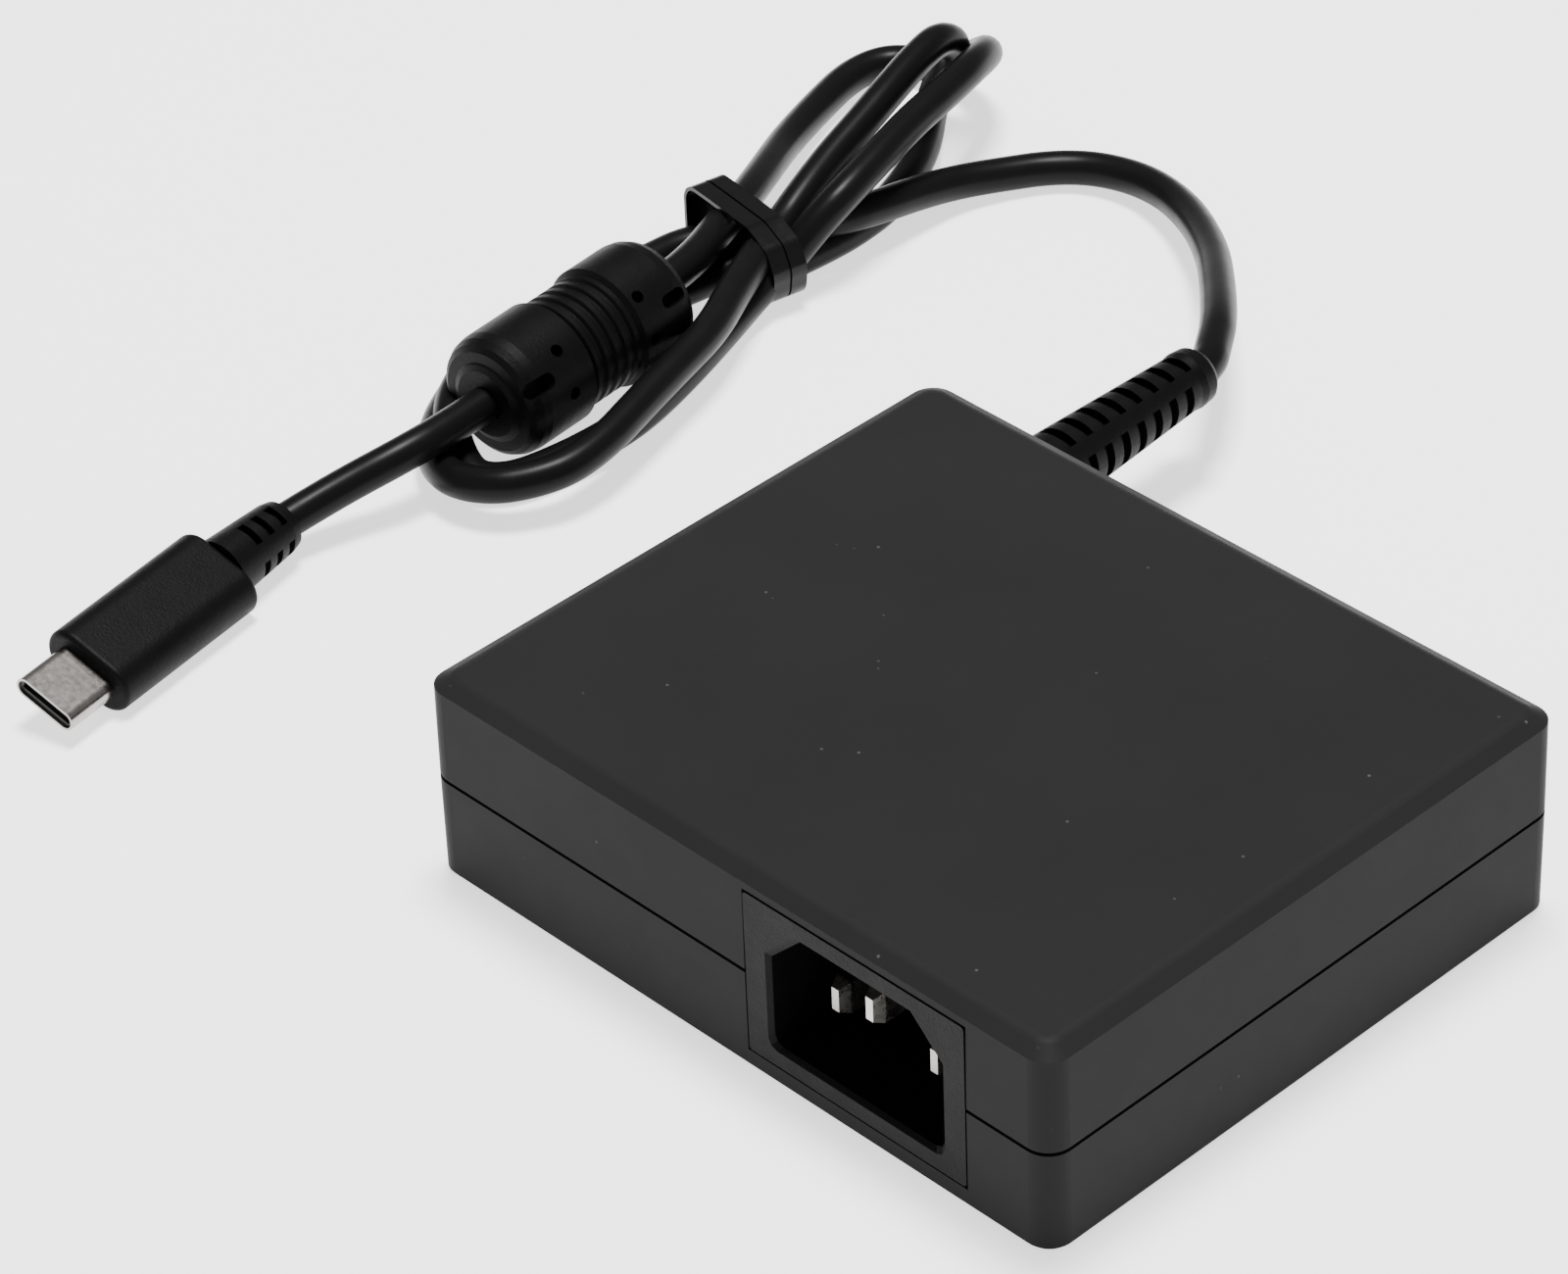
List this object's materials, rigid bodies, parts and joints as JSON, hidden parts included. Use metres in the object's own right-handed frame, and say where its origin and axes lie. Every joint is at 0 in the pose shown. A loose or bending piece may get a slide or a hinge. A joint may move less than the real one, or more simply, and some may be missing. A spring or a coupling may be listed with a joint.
{
  "type": "laptop power adapter",
  "caption": "Flat rectangular laptop power adapter with a three-pin mains inlet and a fixed output cord, tied in a hank, with a ferrite and a USB-C plug",
  "frame": {"origin": "centre of the brick's underside", "axes": "X = the brick's long side, Y = its width with the mains inlet on the -Y face and the output cord on the +Y face, Z = up"},
  "size_m": [0.1727, 0.169, 0.0258],
  "materials": {
    "case_plastic": "satin, fine grain",
    "moulding_plastic": "matt, fine grain",
    "cord_jacket": "semi-gloss",
    "tie_plastic": "glossy",
    "shell_metal": "plated, smooth",
    "pin_metal": "tinned",
    "board_laminate": "solder mask",
    "chip_plastic": "moulded",
    "component_plastic": "moulded",
    "heatsink_metal": "bare",
    "ferrite_ceramic": "sintered",
    "copper_winding": "enamelled",
    "sheet_insulator": "film",
    "wire_insulation": "insulated",
    "label_film": "blank film",
    "pad_elastomer": "soft"
  },
  "bodies": {
    "root": {"bridge_rectifier": "chip_plastic", "bulk_capacitor": "component_plastic", "cable_tie": "tie_plastic", "circuit_board": "board_laminate", "common_mode_choke_core": "ferrite_ceramic", "common_mode_choke_windings": "copper_winding", "controller_board": "board_laminate", "controller_chips": "chip_plastic", "cord_hank": "cord_jacket", "ferrite_core": "ferrite_ceramic", "ferrite_cover": "moulding_plastic", "fuse": "component_plastic", "inlet_earth_pin": "pin_metal", "inlet_housing": "moulding_plastic", "inlet_live_pin": "pin_metal", "inlet_neutral_pin": "pin_metal", "inrush_thermistor": "component_plastic", "lower_case": "case_plastic", "lower_heat_spreader": "heatsink_metal", "lower_insulating_sheet": "sheet_insulator", "mains_wires": "wire_insulation", "optocoupler": "chip_plastic", "output_capacitors": "component_plastic", "output_choke": "ferrite_ceramic", "output_control_board": "board_laminate", "output_control_chip": "chip_plastic", "output_cord_brick_end": "cord_jacket", "output_cord_inside_relief": "cord_jacket", "output_cord_plug_end": "cord_jacket", "output_strain_relief": "moulding_plastic", "output_wires": "wire_insulation", "plug_body": "moulding_plastic", "plug_circuit_board": "board_laminate", "plug_contacts": "pin_metal", "plug_liner": "chip_plastic", "plug_shell": "shell_metal", "plug_strain_relief": "moulding_plastic", "primary_heatsink": "heatsink_metal", "primary_switch": "chip_plastic", "rating_label": "label_film", "thermal_pad": "pad_elastomer", "transformer_bobbin": "chip_plastic", "transformer_core": "ferrite_ceramic", "transformer_winding": "copper_winding", "underside_chips": "chip_plastic", "upper_case": "case_plastic", "upper_heat_spreader": "heatsink_metal", "upper_insulating_sheet": "sheet_insulator", "varistor": "component_plastic", "x_capacitor": "component_plastic", "y_capacitors": "component_plastic"}
  },
  "joints": []
}
